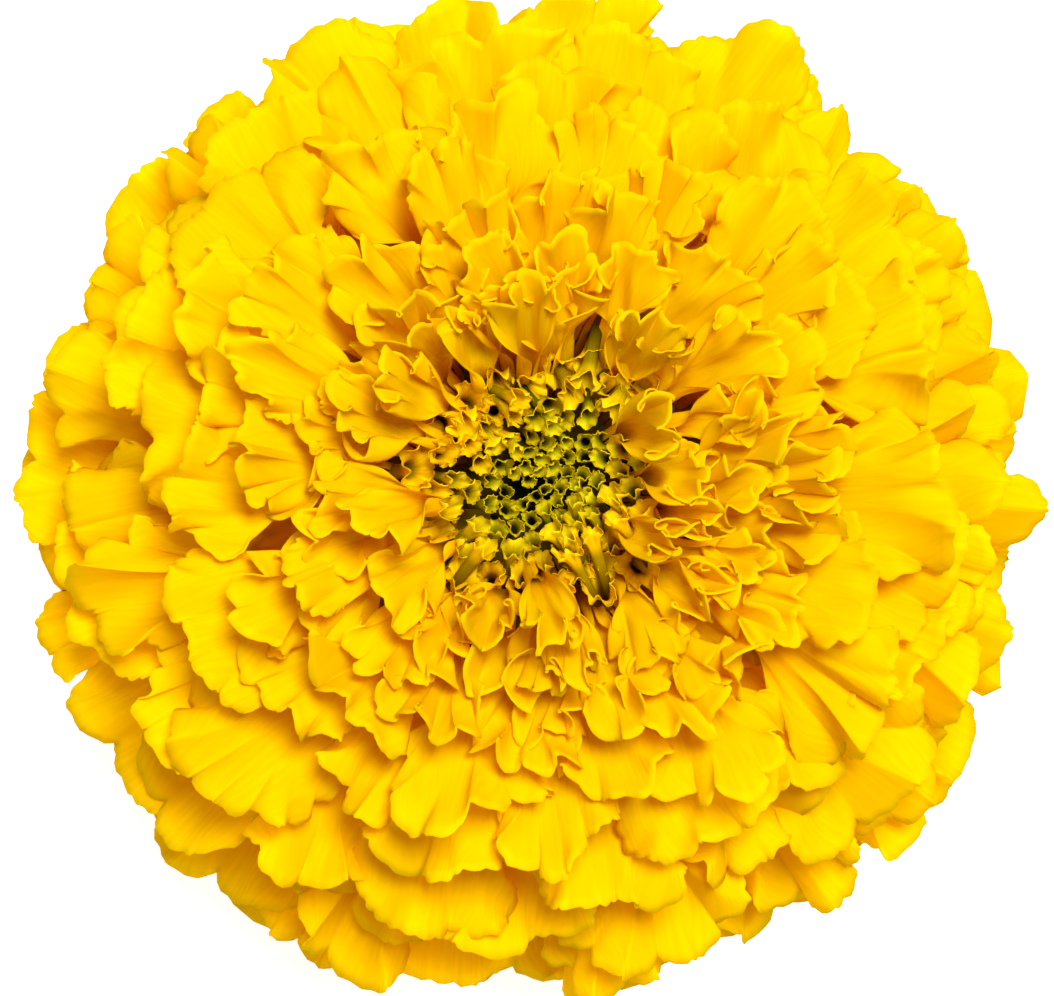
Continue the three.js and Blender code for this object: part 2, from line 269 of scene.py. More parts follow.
class Canopy:
    """The underside of the rays placed so far, as a height over each place of the head seen from above. A ray
    that is placed later dives under it instead of cutting through it."""

    CELL = 0.5
    REACH = 70
    MARGIN_CELLS = 8
    SLOPE = 0.35
    GAP = 1.0
    DEEPEST_DIVE = 3.5
    OPEN_SKY = 99.0
    SMOOTHING = 4

    def __init__(self):
        count = int(2 * self.REACH / self.CELL)
        self.low = np.full((count, count), self.OPEN_SKY)

    def cells(self, grid):
        return (grid[..., 0] + self.REACH) / self.CELL, (grid[..., 1] + self.REACH) / self.CELL

    def cover(self, grid):
        """Lowers the canopy to a ray, at its points and halfway between them."""
        rows = np.concatenate([grid, 0.5 * (grid[1:] + grid[:-1])])
        points = np.concatenate([rows, 0.5 * (rows[:, 1:] + rows[:, :-1])], axis=1)
        i, j = self.cells(points)
        np.minimum.at(self.low, (i.astype(int), j.astype(int)), points[..., 2])

    def dive(self, grid):
        """A grid with its points pushed down below the canopy, which slopes up around its edge."""
        i, j = self.cells(grid)
        i0 = max(int(i.min()) - self.MARGIN_CELLS, 0)
        j0 = max(int(j.min()) - self.MARGIN_CELLS, 0)
        i1 = int(i.max()) + self.MARGIN_CELLS
        j1 = int(j.max()) + self.MARGIN_CELLS
        sky = self.low[i0:i1, j0:j1].copy()
        rise = self.SLOPE * self.CELL
        for _ in range(self.MARGIN_CELLS):
            for axis in (0, 1):
                for way in (1, -1):
                    sky = np.minimum(sky, np.roll(sky, way, axis) + rise)

        # the height of the canopy between the middles of the four nearest cells
        a, b = i - i0 - 0.5, j - j0 - 0.5
        ai, bi = a.astype(int), b.astype(int)
        fa, fb = a - ai, b - bi
        ceiling = (sky[ai, bi] * (1 - fa) + sky[ai + 1, bi] * fa) * (1 - fb)
        ceiling = ceiling + (sky[ai, bi + 1] * (1 - fa) + sky[ai + 1, bi + 1] * fa) * fb

        above = np.maximum(grid[..., 2] - (ceiling - self.GAP), 0)
        for _ in range(self.SMOOTHING):
            edged = np.pad(above, 1, mode="edge")
            above = (edged[1:-1, :-2] + 2 * above + edged[1:-1, 2:]) / 4
            edged = np.pad(above, 1, mode="edge")
            above = (edged[:-2, 1:-1] + 4 * above + edged[2:, 1:-1]) / 6
        grid[..., 2] -= self.DEEPEST_DIVE * np.tanh(above / self.DEEPEST_DIVE)
        return grid


def with_hem(grid, thickness):
    """A grid with one more row, which turns the last row down by the petal's thickness."""
    across = np.gradient(grid[-1], axis=0)
    outward = grid[-1] - grid[-2]
    under = np.cross(across, outward)
    under /= np.linalg.norm(under, axis=-1, keepdims=True) + 1e-9
    return np.concatenate([grid, (grid[-1] + thickness * under)[None]])


def with_last_row_twice(values):
    """Values of a grid's points, with those of its last row again for the hem."""
    return np.concatenate([values, values[-1:]])


# The waves of a limb, as ranges of their number and of their height at the margin
RUFFLES = (2.3, 4)
RUFFLE_HEIGHT = (1.2, 2.4)
RUFFLE_DRIFT = (0.4, 1.2)
DRIFTS = (0.6, 1.5)
RUFFLE_LEAN = 0.25
ARCHES = (1, 2.2)
ARCH_HEIGHT = (0.9, 2)
FRILLS = (3.6, 6)
FRILL_HEIGHT = (0.4, 1.1)
PLEATS = (3, 4.5)
PLEAT_HEIGHT = 0.09
FINE_PLEATS = (6, 9)
FINE_PLEAT_HEIGHT = 0.04
CURL_DOWN = (0, 1.1)

# The margin of a limb: notches in its valleys, rounded corners, small teeth and a slow wave
NOTCH_BY_RUFFLE = 0.28
NOTCH_DEPTH = (0.15, 0.55)
NOTCH_SHARPNESS = 1.7
CORNER_CUT = (0.45, 0.65)
TEETH = (9, 12)
TOOTH_DEPTH = 0.36
TOOTH_ROUGHNESS = 0.06
MARGIN_WAVES = (0.8, 2.2)
MARGIN_WAVE = 0.9

# How round the tops of lobes are, and how late each wave and cut grows along a limb, as a power of the
# place along it
ROUNDNESS = 0.03
LATE = {"ruffle": (2.2, 3.2), "arch": 1.8, "frill": 4, "curl": 4.5, "notch": 2.5, "corner": 2, "teeth": 14}


def ray_waves(rng, u, v, size, radius):
    """The waves of a limb, over u across it and v along it: how far its margin stands out from a plain fan,
    how high it stands, and how far its crests lean over sideways. Each crest ends in a broad round lobe, and
    each valley in a notch."""
    ruffles = rng.uniform(*RUFFLES)
    phase = ruffles * math.pi * u + rng.uniform(0, TURN) + rng.uniform(*RUFFLE_DRIFT) * wave(rng, u, *DRIFTS)
    crest = 2 * np.sqrt(np.cos(0.5 * phase) ** 2 + ROUNDNESS) - 1
    tall = rng.uniform(*RUFFLE_HEIGHT) * size ** 0.5
    swell = tall * v ** rng.uniform(*LATE["ruffle"])
    arch = rng.uniform(*ARCH_HEIGHT) * size * wave(rng, u, *ARCHES) * v ** LATE["arch"]
    frill = rng.uniform(*FRILL_HEIGHT) * size ** 0.3 * wave(rng, u, *FRILLS) * v ** LATE["frill"]
    pleats = PLEAT_HEIGHT * wave(rng, u, *PLEATS) + FINE_PLEAT_HEIGHT * wave(rng, u, *FINE_PLEATS)
    pleats = pleats * smooth(3 * v) * (1 - 0.8 * v)
    curl_down = rng.uniform(*CURL_DOWN) * size * (0.75 + 0.25 * crest) * v ** LATE["curl"]
    height = swell * np.cos(phase) + arch + frill + pleats - curl_down
    shift = -RUFFLE_LEAN * swell * np.sin(2 * phase)

    notch = NOTCH_BY_RUFFLE * tall + rng.uniform(*NOTCH_DEPTH) * size
    notches = notch * np.clip(1 - crest, 0, 2) ** NOTCH_SHARPNESS * v ** LATE["notch"]
    rounding = 1 - np.sqrt(np.clip(1 - np.abs(u) ** 3, 0, 1))
    corners = rng.uniform(*CORNER_CUT) * radius * rounding * v ** LATE["corner"]
    rough = rng.normal(0, 1, u.shape[1])
    rough = np.convolve(rough, [0.25, 0.5, 0.5, 0.25], mode="same")[None, :]
    teeth = np.abs(np.sin(rng.uniform(*TEETH) * size ** 0.5 * math.pi * u + 0.5 * rough))
    teeth = (TOOTH_DEPTH * teeth + TOOTH_ROUGHNESS * rough) * v ** LATE["teeth"]
    slow = MARGIN_WAVE * size * wave(rng, u, *MARGIN_WAVES) * v ** LATE["notch"]
    return slow - notches - corners + teeth, height, shift


# The sizes of a ray floret. Each one draws its own value from a range. How far its limb bends over, in
# degrees, goes by its angle on the head.
LENGTH_RANGE = (0.82, 1.12)
WIDTH_RANGE = (0.82, 1.18)
LENGTH_BY_SIZE = 0.5
WIDTH_BY_SIZE = 1.2
BEND_ANGLES = (15, 40, 60, 80, 100, 130)
BENDS = (8, 17, 12, -2, -14, -16)
BEND_RANGE = (-12, 10)
FAN_RANGE = (1.3, 1.7)
LEAST_FAN = 0.02
RAY_THICKNESS = 0.16

# How soon a limb widens and fans out, as powers of the place along it: a small ray stays closed for longer
WIDENS = {"closed": 3, "open": 2.3}
FANS_OUT = {"closed": 2.6, "open": 2.1}
OPEN_FROM_SIZE = 0.5
OPEN_OVER_SIZE = 0.35
SIDE_CROWDING = 0.45

# The tubes, whole on the underside of the head and cut short where they can't be seen
LOW_FROM = math.radians(60)
LOW_OVER = 0.6
TUBE_SHOWN = 13
TUBE_ROWS = {"whole": 8, "short": 5}
TUBE_TAPER = 0.025
TUBE_NARROWEST = 0.6
SMALL_TUBE = 0.7

# The roll of a blade about its length, where pi is a closed tube, and the turns of a whole floret in its
# place, in radians
CLOSED_ROLL = 0.97 * math.pi
LEAST_ROLL = 0.02
FUNNEL_RANGE = (0.7, 2.3)
MARGIN_ROLL_RANGE = (-0.6, 1)
TWIST = 0.1
TWIST_SPREAD = 0.25
NOD_SPREAD = {"upper": 0.14, "lower": 0.06}
SWAY_SPREAD = 0.12
STEADY_FROM = -6
STEADY_OVER = 8
CANOPY_DOWN_TO = math.radians(98)


def ray_floret(sheets, canopy, rng, angle, azimuth, size, columns, limb_rows):
    """A ray floret: the closed tube opens along the side that faces the eye, and its wall widens into the
    limb."""
    opened = float(smooth((size - OPEN_FROM_SIZE) / OPEN_OVER_SIZE))
    low = float(smooth((angle - LOW_FROM) / LOW_OVER))
    limb_length = LIMB_LENGTH * size ** LENGTH_BY_SIZE * rng.uniform(*LENGTH_RANGE)
    half_width = 0.5 * LIMB_WIDTH * size ** WIDTH_BY_SIZE * rng.uniform(*WIDTH_RANGE)
    bend = np.interp(math.degrees(angle), BEND_ANGLES, BENDS) + rng.uniform(*BEND_RANGE)
    line = middle_line(angle, limb_length, math.radians(bend))
    fan = rng.uniform(*FAN_RANGE)

    # u goes across the limb, and v along it from the mouth of the tube
    u = np.linspace(-1, 1, columns)[None, :]
    u = u * (1 + SIDE_CROWDING - SIDE_CROWDING * u * u)
    v = np.linspace(0, 1, limb_rows)[:, None] ** 0.9
    whole = low > 0.5
    tube_start = line["y"][0] if whole else max(-TUBE_SHOWN, line["y"][0])
    tube_rows = TUBE_ROWS["whole" if whole else "short"]
    tube_y = np.linspace(tube_start, 0, tube_rows)[:-1, None]
    v = np.concatenate([np.zeros_like(tube_y), v])
    y0 = np.concatenate([tube_y, limb_length * v[len(tube_y):]])

    # the blade laid flat: a fan whose half width and half angle grow along the limb
    tube_width = np.clip(1 + TUBE_TAPER * np.minimum(y0, 0), TUBE_NARROWEST, 1)
    tube_half = math.pi * TUBE_RADIUS * mix(SMALL_TUBE, 1, size) * tube_width
    w = mix(tube_half, half_width, v ** mix(WIDENS["closed"], WIDENS["open"], opened))
    beta = LEAST_FAN + fan * v ** mix(FANS_OUT["closed"], FANS_OUT["open"], opened)
    radius = w / beta
    outline, height, shift = ray_waves(rng, u, v, size, half_width / fan)
    reach = radius + outline
    x = reach * np.sin(beta * u)
    y = y0 - radius + reach * np.cos(beta * u)

    # the blade rolled up: closed in the tube, and open or turned back at the margin
    funnel = rng.uniform(*FUNNEL_RANGE)
    margin_roll = mix(rng.uniform(*MARGIN_ROLL_RANGE), rng.uniform(*MARGIN_ROLL_RANGE), 0.5 + 0.5 * u)
    roll = mix(CLOSED_ROLL, mix(funnel, margin_roll, opened), smooth(1.03 * v ** 0.9))
    roll = np.where(np.abs(roll) < LEAST_ROLL, LEAST_ROLL, roll)
    curl = roll / w
    theta = curl * x
    side = np.sin(theta) / curl - np.sin(theta) * height + np.cos(theta) * shift
    lift = (1 - np.cos(theta)) / curl + np.cos(theta) * height + np.sin(theta) * shift

    # the whole floret turned about its mouth: a twist along it, a nod towards the eye and a sway aside
    grid = place(line, azimuth, y, side, lift)
    mouth = place(line, azimuth, np.array(0.0), np.array(0.0), np.array(0.0))
    ahead = place(line, azimuth, np.array(1.0), np.array(0.0), np.array(0.0)) - mouth
    aside = np.array([-math.sin(azimuth), math.cos(azimuth), 0])
    steady = smooth((y - STEADY_FROM) / STEADY_OVER)
    nod_spread = mix(NOD_SPREAD["upper"], NOD_SPREAD["lower"], low)
    grid = turned_about(grid, mouth, ahead, rng.normal(TWIST, TWIST_SPREAD) * steady)
    grid = turned_about(grid, mouth, aside, rng.normal(0, nod_spread) * steady)
    grid = turned_about(grid, mouth, np.cross(ahead, aside), rng.normal(0, SWAY_SPREAD) * steady)

    limb = grid[len(tube_y):]
    if angle < CANOPY_DOWN_TO:
        limb[:] = canopy.dive(limb)
        canopy.cover(limb)
    uv = with_last_row_twice(TEXTURE_SCALE * np.stack([x, y], axis=-1))
    along = with_last_row_twice(np.where(y0 < 0, y0 / limb_length, v) + 0 * x)
    sheets.add(with_hem(grid, RAY_THICKNESS), along, uv, rng.uniform(0, 1), angle / math.pi)


def furrow_offset(x, y):
    """From the nearest place of the furrow to a place in the eye, along x and y."""
    along = np.array([math.cos(FURROW_TURN), math.sin(FURROW_TURN)])
    half = FURROW_LENGTH / 2
    nearest = np.clip(x * along[0] + y * along[1], -half, half) * along
    return x - nearest[0], y - nearest[1]


# How a disc floret stands: its lean outwards in degrees goes by its distance from the furrow
LEAN_DISTANCES = (0, 2, 4, 6, 10, 13, 18)
LEANS = (-12, -25, -38, -34, -8, 12, 32)
DISC_LEAN_SPREAD = 0.15
DISC_AXIS_SPREAD = 0.12
DISC_RISE_RANGE = (-0.9, 0.7)
MIDDLE_DIP = 1.8
MIDDLE_RADIUS = 1.8
GROWS_FROM = 2.5
GROWS_OVER = 8
OUTER_FROM = 7
OUTER_OVER = 9

# Some disc florets near the middle stand taller
TALL_SHARE = 0.3
TALL_DISTANCES = (2.5, 6.5)
TALL_RISE_RANGE = (1, 2.5)
TALL_LEANS_MORE = math.radians(10)
TALL_GROWN = 0.55

# The trumpet of a disc floret. Its widths are shares of the room that it has.
TRUMPET_TUBE = {"inner": 0.29, "outer": 0.18}
TRUMPET_TUBE_RANGE = (0.9, 1.1)
TRUMPET_MOUTH = {"young": 0.48, "grown": 0.57, "outer": 0.5}
TRUMPET_MOUTH_RANGE = (0.85, 1.2)
TRUMPET_LENGTH = {"young": 5, "grown": 7}
FLARE_START = {"young": 0.7, "grown": 0.45}
FLARE_POWER = 2.2
OVAL_RANGE = (0.85, 1.2)
DISC_ROWS = 14
DISC_COLUMNS = {"small": 32, "large": 60}
SMALL_WITHIN = 5
DISC_THICKNESS = 0.06

# The lobes of its mouth, their frills and teeth, and how they rise and turn down
LOBE_COUNT = {"least": 3, "by_mouth": 1.5, "range": (0, 1.4)}
LOBE_WARPS = (0.3, 0.15)
LOBE_MIDDLE = 0.65
FOLD_DEPTH = {"young": 0.35, "grown": 0.5}
FOLD_RANGE = (0.8, 1.2)
OUTER_FOLD = 0.8
LOPSIDED = (0.14, 0.12)
ONCE_ROUND = (1, 1.01)
TWICE_ROUND = (2, 2.01)
DISC_FRILLS = (7, 11)
DISC_FRILL = 0.1
DISC_FRILL_HEIGHT = 0.16
DISC_TOOTH = 0.1
DISC_LIP_RANGE = (-0.3, 1.2)
OUTER_LIP = 1.2
LIP_RISE = 0.4
MOUTH_RISE = 0.32
UNEVEN_RISE = 0.7
TURNED_DOWN_RANGE = (0.3, 0.7)


def disc_floret(sheets, rng, angle, azimuth, area):
    """A disc floret: a slim tube that flares into a frilled mouth of curled, toothed lobes. It leans in over
    the furrow near the middle of the eye, and out with the rays at its edge, where the mouth is lopsided."""
    r, z = mouth_surface(angle)
    centre_x, centre_y = r * math.cos(azimuth), r * math.sin(azimuth)
    from_x, from_y = furrow_offset(centre_x, centre_y)
    distance = math.hypot(from_x, from_y)
    if distance < FURROW_HALF_WIDTH:
        return
    grown = float(smooth((distance - GROWS_FROM) / GROWS_OVER))
    outer_share = float(smooth((distance - OUTER_FROM) / OUTER_OVER))
    tall = rng.uniform(0, 1) < TALL_SHARE and TALL_DISTANCES[0] < distance < TALL_DISTANCES[1]
    lean = math.radians(np.interp(distance, LEAN_DISTANCES, LEANS)) + rng.normal(0, DISC_LEAN_SPREAD)
    z += rng.uniform(*DISC_RISE_RANGE) + RIM_RISE * outer_share
    z -= MIDDLE_DIP * math.exp(-((distance / MIDDLE_RADIUS) ** 2))
    if tall:
        z += rng.uniform(*TALL_RISE_RANGE)
        lean -= TALL_LEANS_MORE
        grown = max(grown, TALL_GROWN)
    outwards = math.sin(lean) / distance
    axis = np.array([from_x * outwards, from_y * outwards, math.cos(lean)])
    axis += rng.normal(0, DISC_AXIS_SPREAD, 3)
    axis /= np.linalg.norm(axis)
    aside = np.cross(axis, [from_x, from_y, 0])
    aside /= np.linalg.norm(aside)
    outer = np.cross(aside, axis)

    # a goes round the trumpet, and t along it from its foot to its lip
    width = math.sqrt(area)
    tube = width * mix(TRUMPET_TUBE["inner"], TRUMPET_TUBE["outer"], outer_share)
    tube *= rng.uniform(*TRUMPET_TUBE_RANGE)
    mouth_share = mix(TRUMPET_MOUTH["young"], TRUMPET_MOUTH["grown"], grown)
    mouth = width * mix(mouth_share, TRUMPET_MOUTH["outer"], outer_share)
    mouth *= rng.uniform(*TRUMPET_MOUTH_RANGE)
    columns = DISC_COLUMNS["small" if distance < SMALL_WITHIN else "large"]
    a = np.linspace(0, TURN, columns, endpoint=False)[None, :]
    t = np.linspace(0, 1, DISC_ROWS)[:, None]
    start = mix(FLARE_START["young"], FLARE_START["grown"], grown)
    flare = np.clip((t - start) / (1 - start), 0, 1) ** FLARE_POWER
    reach = mix(tube * mix(0.75, 1, t), mouth, flare)

    # the lobes, the frills along them and the teeth
    lobes = int(LOBE_COUNT["least"] + LOBE_COUNT["by_mouth"] * mouth + rng.uniform(*LOBE_COUNT["range"]))
    warped = a + LOBE_WARPS[0] * np.sin(a + rng.uniform(0, TURN))
    warped = warped + LOBE_WARPS[1] * np.sin(2 * a + rng.uniform(0, TURN))
    phase = 0.5 * lobes * warped + rng.uniform(0, TURN)
    lobe = np.sqrt(np.cos(phase) ** 2 + ROUNDNESS)
    fold = mix(FOLD_DEPTH["young"], FOLD_DEPTH["grown"], grown) * mix(1, OUTER_FOLD, outer_share)
    fold *= rng.uniform(*FOLD_RANGE)
    frills = rng.integers(*DISC_FRILLS) * a + rng.uniform(0, TURN)
    teeth = np.abs(np.sin((4 + 3 * lobes) / 2 * a + rng.uniform(0, TURN)))
    lopsided = LOPSIDED[0] * wave(rng, a / math.pi, *ONCE_ROUND)
    lopsided = lopsided + LOPSIDED[1] * wave(rng, a / math.pi, *TWICE_ROUND)
    reach = reach * (1 + flare ** 0.5 * fold * (lobe - LOBE_MIDDLE) + flare * lopsided)
    reach = reach + DISC_FRILL * mouth * flare ** 3 * np.cos(frills)
    reach = reach + DISC_TOOTH * mouth * teeth * t ** LATE["teeth"]
    lip = rng.uniform(*DISC_LIP_RANGE) * grown ** 3 + OUTER_LIP * outer_share
    outer_lip = lip * flare * (0.5 + 0.5 * np.cos(a))
    reach = reach + outer_lip

    # the height of the wall along the floret's axis
    rise = np.cos(2 * phase) + UNEVEN_RISE * wave(rng, a / math.pi, *TWICE_ROUND)
    rise = -MOUTH_RISE * mouth * flare ** 2 * rise
    turned_down = mouth * grown * rng.uniform(*TURNED_DOWN_RANGE) * smooth((t - 0.75) / 0.25) * lobe
    length = mix(TRUMPET_LENGTH["young"], TRUMPET_LENGTH["grown"], grown) + 0.8 * RIM_RISE * outer_share
    height = -length * (1 - t ** 0.95) + rise - turned_down + LIP_RISE * outer_lip
    height = height + DISC_FRILL_HEIGHT * mouth * flare ** 3 * np.sin(frills)

    oval = rng.uniform(*OVAL_RANGE)
    across = (reach * np.sin(a) * oval)[..., None]
    out = (reach * np.cos(a) / oval)[..., None]
    origin = np.array([centre_x, centre_y, z])
    grid = origin + across * aside + out * outer + height[..., None] * axis
    uv = with_last_row_twice(TEXTURE_SCALE * np.stack([a * mouth + 0 * t, height], axis=-1))
    along = with_last_row_twice(t + 0 * a)
    grid = with_hem(grid, -DISC_THICKNESS)
    sheets.add(grid, along, uv, rng.uniform(0, 1), distance / EYE_RADIUS, closed=True)


# The bands of ray florets, from and to an angle in degrees, and the columns and rows of a full-grown one's
# limb, down to an angle in degrees
BANDS = {"top": (0, 34), "upper": (34, 50), "middle": (50, 66), "side": (66, 92), "lower": (92, 180)}
DETAIL = ((76, (120, 15)), (92, (84, 13)), (180, (30, 10)))

# How far florets stand from the spiral, in radians
AZIMUTH_SPREAD = 0.04
RAY_ANGLE_SPREAD = 0.02
DISC_DOWN_TO = 1


def build_florets():
    """All the florets: disc florets in the eye, rays beyond it, and both together between the two."""
    rng = np.random.default_rng(SEED)
    eye = Sheets()
    sheets = {name: Sheets() for name in BANDS}
    canopy = Canopy()
    for k, angle in enumerate(floret_angles()):
        r, _ = mouth_surface(angle)
        azimuth = k * GOLDEN_ANGLE + rng.normal(0, AZIMUTH_SPREAD)
        disc_chance = (RAYS_ONLY_BEYOND - r) / (RAYS_ONLY_BEYOND - DISC_ONLY_WITHIN)
        in_eye = angle < DISC_DOWN_TO and rng.uniform(0, 1) < disc_chance
        if in_eye:
            disc_floret(eye, rng, angle, azimuth, np.interp(r, AREA_RADII, AREAS))
            continue
        size = np.interp(r, RAY_SIZE_RADII, RAY_SIZES)
        degrees = math.degrees(angle)
        name = next(name for name, (start, end) in BANDS.items() if start <= degrees < end)
        columns, rows = next(grid for end, grid in DETAIL if degrees < end)
        columns = int(columns * mix(0.5, 1, size))
        angle += rng.normal(0, RAY_ANGLE_SPREAD)
        ray_floret(sheets[name], canopy, rng, angle, azimuth, size, columns, rows)
    pieces = [sheets[name].mesh(f"ray_florets_{name}") for name in BANDS]
    return pieces, eye.mesh("disc_florets_eye")


def turned_grid(profile, rows, columns):
    """A profile turned about the axis, as a grid: its radii and heights, with the share of the way up and the
    angle."""
    profile = np.array(profile, dtype=float)
    lengths = np.concatenate([[0], np.cumsum(np.hypot(*np.diff(profile, axis=0).T))])
    t = np.linspace(0, 1, rows)[:, None]
    r = np.interp(t * lengths[-1], lengths, profile[:, 0])
    z = np.interp(t * lengths[-1], lengths, profile[:, 1])
    a = np.linspace(0, TURN, columns, endpoint=False)[None, :]
    return r, z, t, a


def turned_piece(name, r, z, t, a):
    sheets = Sheets()
    z = z + 0 * a
    grid = np.stack([r * np.cos(a), r * np.sin(a), z], axis=-1)
    uv = np.stack([a * 0.4 + 0 * t, z * TEXTURE_SCALE], axis=-1)
    sheets.add(grid, t + 0 * a, uv, 0.5, 0.5, closed=True)
    return sheets.mesh(name)


# The bundle of tubes inside the head, as radii and heights
BUNDLE = (
    (0, 7), (5, 8), (7.2, 12), (7.6, 19), (13, 21.8), (22, 22.8), (27, 26),
    (26.5, 31), (23, 37), (17, 40), (11, 41), (0, 40),
)
BUNDLE_TUBES = 60
BUNDLE_TUBE_DEPTH = 0.03
BUNDLE_SWAY = 3
BUNDLE_SWAYS = 6


def build_bundle():
    """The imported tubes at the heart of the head, seen only through gaps between the florets."""
    r, z, t, a = turned_grid(BUNDLE, 60, 240)
    tubes = np.abs(np.sin(0.5 * BUNDLE_TUBES * a + BUNDLE_SWAY * np.sin(BUNDLE_SWAYS * t)))
    return turned_piece("floret_bundle", r * (1 + BUNDLE_TUBE_DEPTH * tubes * smooth(8 * t)), z, t, a)


# The cup, as radii and heights, with the ribs of its stalk and the forms of its bracts
CUP = (
    (0, 0), (3.6, 0), (3.75, 0.7), (3.85, 1.6), (4.6, 2.8), (5.5, 4.2),
    (6.7, 6.4), (7.7, 8.4), (8.4, 10.2), (8.85, 12), (9.1, 14.2),
)
STALK_TOP = 1.6
STALK_RIBS = 10
STALK_RIB_HEIGHT = 0.12
BRACT_RIDGE = 0.28
BRACT_RIDGE_WIDTH = 0.12
BRACT_VEINS = 7
BRACT_VEIN_HEIGHT = 0.1
BRACT_SEAM = 0.4
BRACT_SEAM_WIDTH = 0.1
BRACT_TOOTH_SHARPNESS = 1.4
BRACT_TOOTH_SPREAD = 0.35


def build_cup():
    """The green cup: bracts joined edge to edge, each with a ridge, fine veins and a pointed tooth."""
    r, z, t, a = turned_grid(CUP, 64, 36 * BRACT_COUNT)
    place_in_bract = (a / TURN * BRACT_COUNT) % 1
    off_middle = np.abs(2 * place_in_bract - 1)
    above_stalk = smooth((z - STALK_TOP) / 2.5)
    ridge = BRACT_RIDGE * np.exp(-((off_middle / BRACT_RIDGE_WIDTH) ** 2))
    ridge = ridge + BRACT_VEIN_HEIGHT * np.cos(BRACT_VEINS * math.pi * off_middle)
    seam = BRACT_SEAM * np.exp(-(((1 - off_middle) / BRACT_SEAM_WIDTH) ** 2))
    stalk_ribs = STALK_RIB_HEIGHT * np.cos(STALK_RIBS * a) * smooth((z - 0.4) / 0.6) * (1 - above_stalk)
    r = r + (ridge - seam) * above_stalk + stalk_ribs
    tooth = BRACT_TOOTH_HEIGHT * (1 - off_middle ** BRACT_TOOTH_SHARPNESS) * smooth((t - 0.72) / 0.28) ** 1.3
    r = r + BRACT_TOOTH_SPREAD * smooth((t - 0.8) / 0.2) * (1 - off_middle)
    return turned_piece("bract_cup", r, z + tooth, t, a)


class Tree:
    """A material's nodes, with short ways to add and link them."""

    NOISE_LOW = 0.3
    NOISE_HIGH = 0.7
    BUMP_STRENGTH = 0.5

    def __init__(self, name):
        self.material = bpy.data.materials.new(name)
        self.material.use_nodes = True
        self.nodes = self.material.node_tree.nodes
        self.links = self.material.node_tree.links
        self.nodes.clear()

    def add(self, kind, settings=None, **inputs):
        node = self.nodes.new("ShaderNode" + kind)
        for name, value in (settings or {}).items():
            setattr(node, name, value)
        for name, value in inputs.items():
            self.put(node.inputs[name.replace("_", " ")], value)
        return node

    def put(self, socket, value):
        if isinstance(value, bpy.types.NodeSocket):
            self.links.new(value, socket)
        else:
            socket.default_value = value

    def math(self, operation, a, b):
        node = self.nodes.new("ShaderNodeMath")
        node.operation = operation
        self.put(node.inputs[0], a)
        self.put(node.inputs[1], b)
        return node.outputs[0]

    def ranged(self, value, low, high, to_low, to_high):
        node = self.add("MapRange", Value=value)
        for name, number in (("From Min", low), ("From Max", high), ("To Min", to_low), ("To Max", to_high)):
            node.inputs[name].default_value = number
        return node.outputs["Result"]

    def varied(self, noise, low, high):
        """A number that goes from low to high as a noise goes over its usual values."""
        return self.ranged(noise, self.NOISE_LOW, self.NOISE_HIGH, low, high)

    def ramp(self, value, stops):
        node = self.add("ValToRGB", Fac=value)
        node.color_ramp.interpolation = "EASE"
        while len(node.color_ramp.elements) < len(stops):
            node.color_ramp.elements.new(0.5)
        for element, (position, colour) in zip(node.color_ramp.elements, stops):
            element.position = position
            element.color = (*colour, 1)
        return node.outputs["Color"]

    def blend(self, share, a, b, kind="MIX"):
        node = self.nodes.new("ShaderNodeMix")
        node.data_type = "RGBA"
        node.blend_type = kind
        self.put(node.inputs["Factor"], share)
        for name, value in (("A", a), ("B", b)):
            socket = next(s for s in node.inputs if s.name == name and s.type == "RGBA")
            self.put(socket, value)
        return next(s for s in node.outputs if s.type == "RGBA")

    def shaded(self, colour, shade):
        """A colour made darker or lighter by a shade, where 1 leaves it as it is."""
        grey = self.nodes.new("ShaderNodeCombineColor")
        for socket in grey.inputs:
            self.put(socket, shade)
        return self.blend(1, colour, grey.outputs["Color"], "MULTIPLY")

    def floret_marks(self):
        """A point's place along its floret, the floret's own tint and the floret's place on the head."""
        mark = self.add("Attribute", {"attribute_name": "floret"})
        parts = self.add("SeparateXYZ", Vector=mark.outputs["Vector"])
        return parts.outputs["X"], parts.outputs["Y"], parts.outputs["Z"]

    def stretched_noise(self, scale, detail=1):
        uv = self.add("UVMap", {"uv_map": "petal"})
        stretch = self.add("Mapping", Vector=uv.outputs["UV"], Scale=scale)
        noise = self.add("TexNoise", Vector=stretch.outputs["Vector"], Scale=1, Detail=detail)
        return noise.outputs["Fac"]

    def tissue(self, colour, roughness, translucency, relief, depth, glow=(1, 1, 1, 1)):
        """Soft plant tissue that lets some light through, with its colour changed by a glow."""
        bump = self.add("Bump", Strength=self.BUMP_STRENGTH, Distance=depth, Height=relief)
        normal = bump.outputs["Normal"]
        surface = self.add("BsdfPrincipled", Base_Color=colour, Roughness=roughness, Normal=normal)
        surface.inputs["Specular IOR Level"].default_value = 0
        glowing = self.blend(1, colour, glow, "MULTIPLY")
        through = self.add("BsdfTranslucent", Color=glowing, Normal=normal)
        both = self.nodes.new("ShaderNodeMixShader")
        self.put(both.inputs["Fac"], translucency)
        self.put(both.inputs[1], surface.outputs[0])
        self.put(both.inputs[2], through.outputs[0])
        self.add("OutputMaterial", Surface=both.outputs[0])
        return self.material


